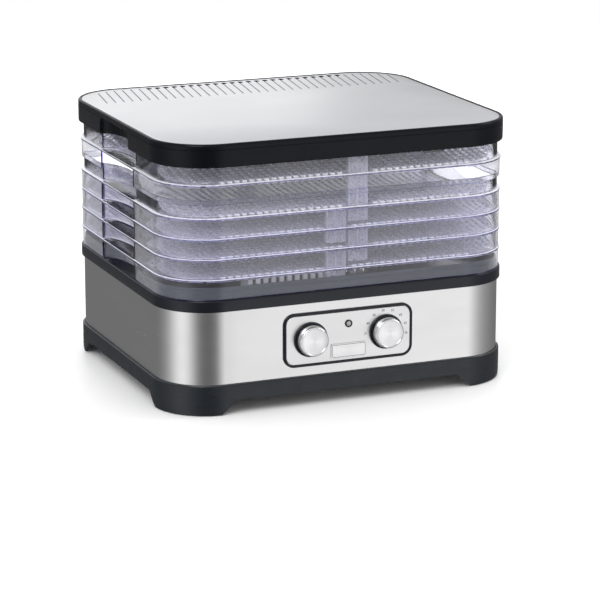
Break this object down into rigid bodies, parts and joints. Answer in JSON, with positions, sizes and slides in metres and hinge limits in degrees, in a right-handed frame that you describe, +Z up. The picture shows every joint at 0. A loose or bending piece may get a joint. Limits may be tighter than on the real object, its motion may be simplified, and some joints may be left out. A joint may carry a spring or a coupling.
{
  "type": "food dehydrator",
  "caption": "Stacking food dehydrator: a brushed-steel fan base with two turning controls, clear perforated trays that nest, and a black-rimmed lid with a silver plate.",
  "frame": {"origin": "on the floor, under the middle of the base; the knobs at the front and the cord grommet at the back stand out equally far", "axes": "+Z up, front with the controls faces -Y, +X is to the right seen from the front"},
  "size_m": [0.342, 0.3142, 0.2473],
  "materials": {
    "black_satin": "satin moulded plastic",
    "black_gloss": "glossy moulded plastic",
    "charcoal": "fine-grained moulded plastic",
    "steel": "brushed along its length",
    "spun_silver": "spun face with fine rings",
    "pale_silver": "satin silver",
    "clear_plastic": "clear, with a cool tint at the edges",
    "smoked_white": "pale moulded plastic",
    "rubber": "matt",
    "zinc": "zinc plated",
    "mica": "pressed mica board",
    "nylon": "white nylon",
    "lens": "frosted lens"
  },
  "bodies": {
    "base": {"base_skirt": "charcoal", "base_floor": "charcoal", "steel_wrap": "steel", "cord_gland": "rubber", "base_deck": "black_gloss", "deck_riser_front": "clear_plastic", "deck_riser_back": "clear_plastic", "warm_air_comb": "smoked_white", "fan_grille": "black_satin", "air_duct": "zinc", "fan_motor": "zinc", "motor_bracket": "zinc", "heater_frame": "mica", "heater_ring": "steel", "thermal_cutout": "zinc", "panel_frame": "black_gloss", "panel_plate": "steel", "badge_plate": "spun_silver", "lamp_lens": "lens", "lamp_ring": "black_gloss", "lamp_body": "nylon", "timer_dial_ring": "black_gloss", "timer_housing": "nylon", "thermostat_dial_ring": "black_gloss", "thermostat_housing": "nylon", "control_bracket": "zinc", "terminal_block": "nylon", "foot_pad_1": "rubber", "base_screw_1": "zinc", "foot_pad_2": "rubber", "base_screw_2": "zinc", "foot_pad_3": "rubber", "base_screw_3": "zinc", "foot_pad_4": "rubber", "base_screw_4": "zinc"},
    "timer_control": {"timer_knob": "spun_silver", "timer_spindle": "zinc"},
    "thermostat_control": {"thermostat_knob": "spun_silver", "thermostat_spindle": "zinc"},
    "fan": {"fan_rotor": "black_satin", "motor_shaft": "steel"},
    "tray_5": {"tray_5": "clear_plastic"},
    "tray_4": {"tray_4": "clear_plastic"},
    "tray_3": {"tray_3": "clear_plastic"},
    "tray_2": {"tray_2": "clear_plastic"},
    "tray_1": {"tray_1": "clear_plastic"},
    "lid": {"lid_rim": "black_satin", "lid_plate": "pale_silver", "lid_liner": "black_satin", "lid_screw_1": "zinc", "lid_screw_2": "zinc", "lid_screw_3": "zinc", "lid_screw_4": "zinc"}
  },
  "joints": [
    {"name": "timer_turn", "type": "hinge", "parent": "base", "child": "timer_control", "pos_m": [-0.037, -0.1533, 0.06185], "axis": [0, 1, 0], "range_deg": [0, 300]},
    {"name": "thermostat_turn", "type": "hinge", "parent": "base", "child": "thermostat_control", "pos_m": [0.037, -0.1533, 0.06185], "axis": [0, 1, 0], "range_deg": [0, 240]},
    {"name": "fan_spin", "type": "hinge", "parent": "base", "child": "fan", "pos_m": [0, 0, 0.077], "axis": [0, 0, 1], "continuous": true},
    {"name": "tray_5_lift", "type": "slide", "parent": "base", "child": "tray_5", "axis": [0, 0, 1], "range_m": [0, 0.045]},
    {"name": "tray_4_lift", "type": "slide", "parent": "tray_5", "child": "tray_4", "axis": [0, 0, 1], "range_m": [0, 0.045]},
    {"name": "tray_3_lift", "type": "slide", "parent": "tray_4", "child": "tray_3", "axis": [0, 0, 1], "range_m": [0, 0.045]},
    {"name": "tray_2_lift", "type": "slide", "parent": "tray_3", "child": "tray_2", "axis": [0, 0, 1], "range_m": [0, 0.045]},
    {"name": "tray_1_lift", "type": "slide", "parent": "tray_2", "child": "tray_1", "axis": [0, 0, 1], "range_m": [0, 0.045]},
    {"name": "lid_lift", "type": "slide", "parent": "tray_1", "child": "lid", "axis": [0, 0, 1], "range_m": [0, 0.045]}
  ]
}
